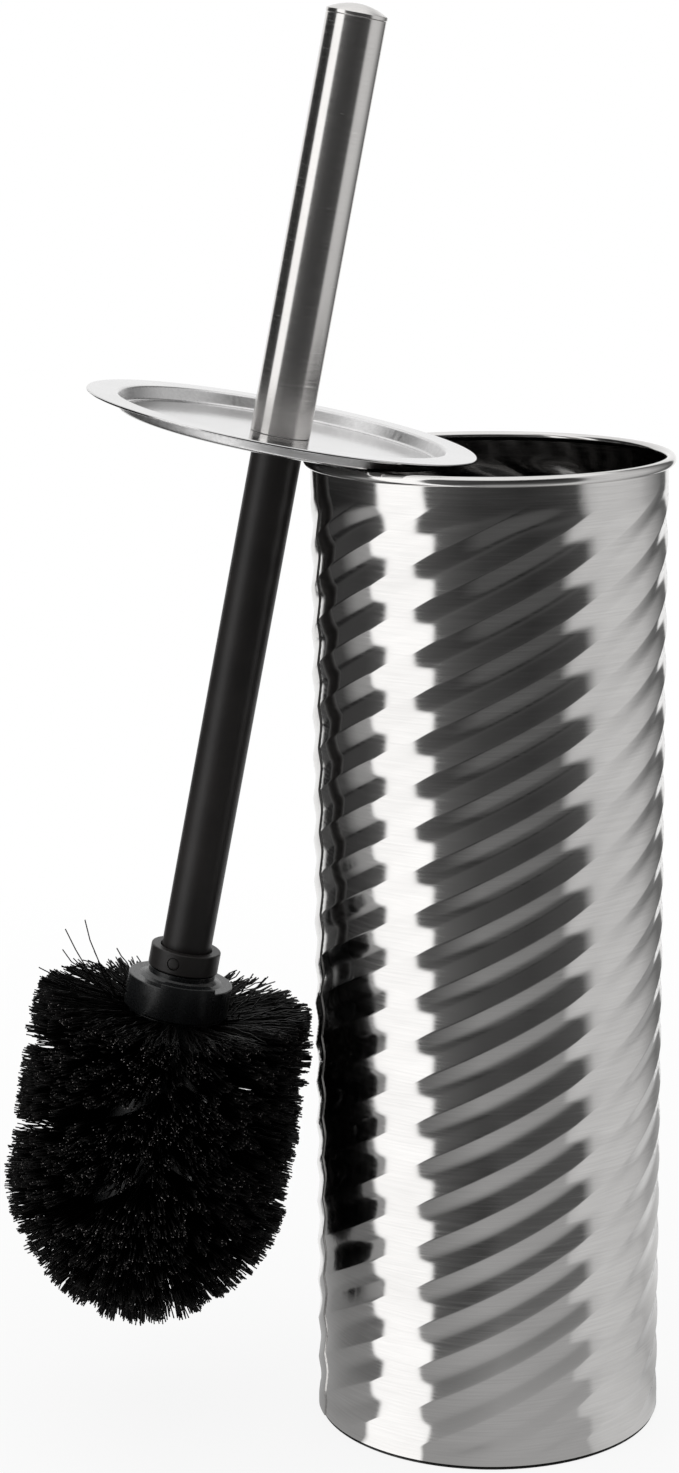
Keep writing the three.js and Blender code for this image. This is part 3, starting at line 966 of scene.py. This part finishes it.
def crimped(random, root, direction, length):
    """Straight runs out of the core that turn into the filament's zigzag."""
    across, other = side_axes(direction)
    turn = random.uniform(0, 2 * pi, len(root))[:, None]
    side = across * np.cos(turn) + other * np.sin(turn)
    size = random.uniform(*CRIMP_SIZE, len(root))[:, None]
    bow_turn = random.uniform(0, 2 * pi, len(root))[:, None]
    bow_side = across * np.cos(bow_turn) + other * np.sin(bow_turn)
    bow = random.normal(0, BOW, len(root))[:, None]
    paths = []
    for share, weight in zip(CRIMP_PLACES, CRIMP_SIDES):
        point = root + direction * (length * share)[:, None]
        paths.append(point + side * size * weight + bow_side * bow * share * (1 - share) * 4)
    return np.stack(paths, 1)


# Loose filaments over the head's top edge: azimuth, then the tip's radius and height.
STRAYS = (
    (-88, 33.8, -148.5), (-93, 29.0, -145.7), (-84, 39.3, -159.8), (-97, 34.0, -156.0),
    (-75, 17.0, -155.5), (-101, 31.0, -158.5), (-66, 22.0, -158.0), (97, 23.4, -153.4),
    (104, 20.3, -153.5), (90, 25.3, -156.0), (84, 29.5, -158.6), (112, 26.0, -155.0),
    (-80, 36.5, -161.0), (-105, 26.0, -155.5), (77, 22.5, -159.5),
)
STRAY_WAVE = (0, 0.3, -0.5, 0.6, -0.6, 0.5, 0)


def stray_paths(random):
    """The loose filaments, bowed out of the top of the head."""
    steps = np.linspace(0, 1, len(STRAY_WAVE))[:, None]
    paths = []
    for azimuth, radius, height in STRAYS:
        out = around(1.0, radians(azimuth), 0.0)
        start = out * (CORE_RADIUS - 1) + UP * (COLLAR_BOTTOM - 3.5)
        bend = out * (0.35 * CORE_RADIUS + 0.55 * radius) + UP * (COLLAR_BOTTOM + 1.5)
        end = out * radius + UP * height
        path = (1 - steps) ** 2 * start + 2 * steps * (1 - steps) * bend + steps ** 2 * end
        paths.append(path + np.array(STRAY_WAVE)[:, None] * random.normal(0, 0.5, 3))
    return np.stack(paths)


def filaments(name, paths, material, *nodes):
    """Three-sided filaments along the paths, closed at both ends."""
    count, steps = paths.shape[:2]
    across, other = side_axes(unit(paths[:, -1] - paths[:, 0]))
    ring = np.stack([across * cos(a) + other * sin(a) for a in even_angles(3)], 1)
    ring *= FILAMENT_RADIUS
    points = (paths[:, :, None, :] + ring[:, None, :, :]).reshape(-1, 3)
    index = np.arange(count * steps * 3).reshape(count, steps, 3)
    beside = np.roll(index, -1, axis=2)
    sides = np.stack([index[:, :-1], beside[:, :-1], beside[:, 1:], index[:, 1:]], -1)
    sides = sides.reshape(-1, 4)
    roots = index[:, 0, ::-1]
    tips = index[:, -1, :]
    place = np.array(BRUSH)
    points = points @ place[:3, :3].T + place[:3, 3] / MM
    piece = add_piece(name, points, [sides, roots, tips], HOLDER, crease=None)
    # each cut end gets a random share of the painted highlight, which the filament material reads
    cut = piece.data.attributes.new("cut_end_highlight", "FLOAT", "FACE")
    values = np.zeros(len(sides) + len(roots) + len(tips), np.float32)
    painted_highlight = np.random.default_rng(SEED).uniform(0, 1, len(tips)) ** PAINTED_HIGHLIGHT_POWER
    values[-len(tips):] = painted_highlight
    cut.data.foreach_set("value", values)
    dress(piece, "head", "bristle", material, *nodes)


def bristles(material):
    """All tufts, in four pieces that together stand for the CAD rings."""
    random = np.random.default_rng(SEED)
    paths = tuft_paths(random, top_tufts() + side_tufts() + dome_tufts())
    paths = np.concatenate([paths, stray_paths(random)])
    middle = np.arctan2(paths[:, -1, 0], -paths[:, -1, 1])
    quarter = np.floor((middle + pi) / (pi / 2)).astype(int) % 4
    rings = [f"bristle_ring_{number:02d}" for number in range(1, 13)]
    for part in range(4):
        nodes = rings[3 * part:3 * part + 3]
        filaments(f"tufts_quarter_{part + 1}", paths[quarter == part], material, *nodes)


# ---------------- pieces kept from CAD


def finish_cad_nodes(materials):
    """Pieces hidden inside the handle and the rod keep their CAD shape and get real materials."""
    for node, material in materials.items():
        mesh = frame["nodes"][node].data
        mesh.materials.clear()
        mesh.materials.append(material)


# ---------------- stage, light and camera

# The studio's light by azimuth in degrees, seen from the object: 0 is the front, minus the left.
STUDIO = (
    (-180, 0.012), (-130, 0.018), (-103, 0.025), (-96, 0.028), (-86, 0.06), (-80.5, 0.09),
    (-78, 1.45), (-46.5, 1.45), (-43.5, 0.13), (-32, 0.09), (-14, 0.05), (18, 0.028),
    (40, 0.045), (54, 0.07), (63, 0.66), (72, 0.73), (90, 0.73), (108, 0.64), (120, 0.44),
    (131, 0.27), (140, 0.14), (149, 0.13), (154, 1.0), (180, 1.0),
)
STUDIO_PEAK = 1.45
BACKDROP = 1.0  # behind the object, from the left round to azimuth BACKDROP_EDGE
BACKDROP_EDGE = -142.0
BACKDROP_SOFT = 2.0  # degrees either side of that edge
BACKDROP_SLANT = 40.0  # how far that edge moves, in degrees, per unit of height
OVERHEAD = 1.2
OVERHEAD_FROM, OVERHEAD_TO = sin(radians(42)), sin(radians(56))
HORIZON = 0.04  # a faint glow low over the floor
HORIZON_RISE = (-0.14, -0.09)  # heights of a direction over which it sets in
HORIZON_FALL = (0.1, -0.03)  # and over which it is gone

# The floor's light by distance from the object, in metres, where no soft box stands over it.
FLOOR_LIGHT = (
    (0.0, 0.47), (0.07, 0.47), (0.11, 0.46), (0.16, 0.43), (0.21, 0.38), (0.28, 0.28),
    (0.34, 0.19), (0.445, 0.12), (0.51, 0.1), (0.62, 0.1), (0.82, 0.1), (0.95, 0.06),
)
FLOOR_RADIUS = 0.95
FLOOR_SIDES = 96
FLOOR_RINGS = 12
FLOOR_FOCUS = 0.024  # the soft boxes' stripes on the floor point at this place in front of the axis
FLOOR_LEFT = ((-0.13, 0.0), (0.4, 1.0))  # places along X, and the share of that light left there
FLOOR_BEHIND = ((0.0, 0.1), (1.0, 1.8))  # the same along Y
# Light that spills on the floor beside the left soft box, by azimuth, and how far out it begins.
SIDE_GLOW = (
    (-180, 0.0), (-110, 0.0), (-103, 0.14), (-92, 0.35), (-81, 0.4), (-78, 0.0), (180, 0.0),
)
SIDE_GLOW_FROM = ((0.18, 0.26), (0.0, 1.0))
PAPER_WHITE = ((0.1, 0.6), (0.88, 1.0))  # distances, and how much of the paper looks plain white


def bands(tree, x, y, z):
    """The studio's level towards a direction, below its overhead light."""
    azimuth = azimuth_of(tree, x, y)
    slant = math_node(tree, "MULTIPLY", z, radians(BACKDROP_SLANT))
    edge = math_node(tree, "SUBTRACT", azimuth, slant)
    limits = [radians(BACKDROP_EDGE + soft) for soft in (BACKDROP_SOFT, -BACKDROP_SOFT)]
    backdrop = spread(tree, edge, limits, (0, BACKDROP))
    return math_node(tree, "MAXIMUM", look_up(tree, azimuth, STUDIO, STUDIO_PEAK), backdrop)


def studio():
    """Soft boxes and dark flags round the object; a plain white backdrop where the camera looks."""
    world = bpy.data.worlds.new("studio")
    bpy.context.scene.world = world
    world.use_nodes = True
    tree = world.node_tree
    tree.nodes.clear()
    x, y, z = split_place(tree, "Generated")
    glow = math_node(tree, "MULTIPLY", spread(tree, z, HORIZON_FALL, (0, 1)),
                     spread(tree, z, HORIZON_RISE, (0, HORIZON)))
    beside = math_node(tree, "ADD", bands(tree, x, y, z), glow)
    above = spread(tree, z, (OVERHEAD_FROM, OVERHEAD_TO), (0, 1))
    below = math_node(tree, "SUBTRACT", 1.0, above)
    level = math_node(tree, "ADD", math_node(tree, "MULTIPLY", beside, below),
                      math_node(tree, "MULTIPLY", above, OVERHEAD))
    seen = add_node(tree, "LightPath").outputs["Is Camera Ray"]
    hidden = math_node(tree, "SUBTRACT", 1.0, seen)
    strength = math_node(tree, "ADD", math_node(tree, "MULTIPLY", level, hidden), seen)
    light = add_node(tree, "Background", {"Strength": strength, "Color": (1, 1, 1, 1)})
    add_node(tree, "OutputWorld", {"Surface": light.outputs["Background"]})


def floor_material():
    """Pale paper, near white where the camera sees it. What the steel mirrors of it is its light
    pool: bright near the object, fading outwards, and bright all the way under the soft boxes."""
    material, tree, shader = new_material("pale floor", (0.86, 0.86, 0.86), 0.9, specular=0.1)
    x, y, z = split_place(tree, "Object")
    distance = math_node(tree, "SQRT", squared_distance(tree, x, y))
    share = math_node(tree, "DIVIDE", distance, FLOOR_RADIUS)
    stops = [(place / FLOOR_RADIUS, (level,) * 3) for place, level in FLOOR_LIGHT]
    by_side = math_node(tree, "MULTIPLY", spread(tree, x, *FLOOR_LEFT),
                        spread(tree, y, *FLOOR_BEHIND))
    pool = math_node(tree, "MULTIPLY", tint(tree, share, *stops), by_side)
    forward = math_node(tree, "ADD", y, FLOOR_FOCUS)
    spill = math_node(tree, "MULTIPLY", look_up(tree, azimuth_of(tree, x, forward), SIDE_GLOW),
                      spread(tree, distance, *SIDE_GLOW_FROM))
    lit = math_node(tree, "MAXIMUM", bands(tree, x, forward, z), spill)
    level = math_node(tree, "MAXIMUM", pool, lit)
    mirrored = add_node(tree, "Emission", {"Strength": level}).outputs["Emission"]
    white = add_node(tree, "Emission").outputs["Emission"]
    share = spread(tree, distance, *PAPER_WHITE)
    seen = add_node(tree, "MixShader", {"Fac": share, 1: shader.outputs["BSDF"], 2: white})
    direct = add_node(tree, "LightPath").outputs["Is Camera Ray"]
    both = add_node(tree, "MixShader", {"Fac": direct, 1: mirrored, 2: seen.outputs["Shader"]})
    tree.links.new(both.outputs["Shader"], tree.nodes["Material Output"].inputs["Surface"])
    return material


def stage_floor():
    steps = np.linspace(0, FLOOR_RADIUS / MM, FLOOR_RINGS)
    points = around(steps, even_angles(FLOOR_SIDES)[:, None], 0.0).reshape(-1, 3)
    faces = grid_faces(FLOOR_SIDES, len(steps), closed=False)
    points, face_sets = join_poles(points, faces, len(steps))
    floor = add_piece("stage_floor", points, face_sets, HOLDER)
    floor.data.flip_normals()
    floor.data.materials.append(floor_material())


CAMERA_PLACE = (-0.04075, -0.864445, 0.380852)
CAMERA_PITCH = 12.2176  # degrees below the horizon
CAMERA_ROLL = -0.45746
CAMERA_LENS = 79.153
CAMERA_SENSOR = 36.0


def camera():
    data = bpy.data.cameras.new("camera")
    data.sensor_fit = "VERTICAL"
    data.sensor_height = CAMERA_SENSOR
    data.lens = CAMERA_LENS
    pitch, roll = radians(CAMERA_PITCH), radians(CAMERA_ROLL)
    forward = Vector((0, cos(pitch), -sin(pitch)))
    up = Vector((0, sin(pitch), cos(pitch)))
    right = Vector((1, 0, 0))
    side = right * cos(roll) + up * sin(roll)
    top = up * cos(roll) - right * sin(roll)
    place = Matrix((side, top, -forward)).transposed().to_4x4()
    place.translation = Vector(CAMERA_PLACE)
    made = bpy.data.objects.new("camera", data)
    bpy.context.scene.collection.objects.link(made)
    made.matrix_world = place
    bpy.context.scene.camera = made


# ---------------- the whole scene

wall_metal = fluted_steel()
lid_metal = lid_steel()
handle_metal = handle_steel()
zinc = zinc_steel()
rod_plastic = plastic(
    "rod plastic", (0.016, 0.0145, 0.014), (0.027, 0.024, 0.023), 0.42, grain=2600, bump=0.3
)
socket_plastic = plastic(
    "socket plastic", (0.007, 0.0075, 0.008), (0.011, 0.012, 0.013), 0.3, grain=1500, bump=0.1,
    specular=0.5
)
cup_plastic = plastic(
    "cup plastic", (0.022, 0.022, 0.022), (0.034, 0.034, 0.034), 0.45, grain=1500, bump=0.2
)
insert_grey = plastic(
    "insert plastic", (0.14, 0.14, 0.145), (0.17, 0.17, 0.175), 0.5, grain=1500, bump=0.15
)
foam_rubber = plastic(
    "foam rubber", (0.018, 0.018, 0.018), (0.035, 0.035, 0.035), 0.85, grain=1200, bump=0.8
)

wall_sheet(wall_metal, shaded_inner_steel())
wall_lap(wall_metal)
drip_cup(cup_plastic)
anti_slip_pad(foam_rubber)
lid_stamping(lid_metal)
rubber_washer(foam_rubber)
handle_shell(handle_metal)
handle_cap(handle_metal)
rod_tube(rod_plastic)
rod_ring(rod_plastic)
ring_pin(rod_plastic)
head_collar(socket_plastic)
tuft_core(socket_plastic)
bristles(bristle_black())
finish_cad_nodes({"rod_plug": insert_grey, "handle_insert": insert_grey,
                  "tie_stud": zinc, "insert_nut": zinc})
studio()
stage_floor()
camera()
bpy.context.scene.view_settings.view_transform = "Standard"
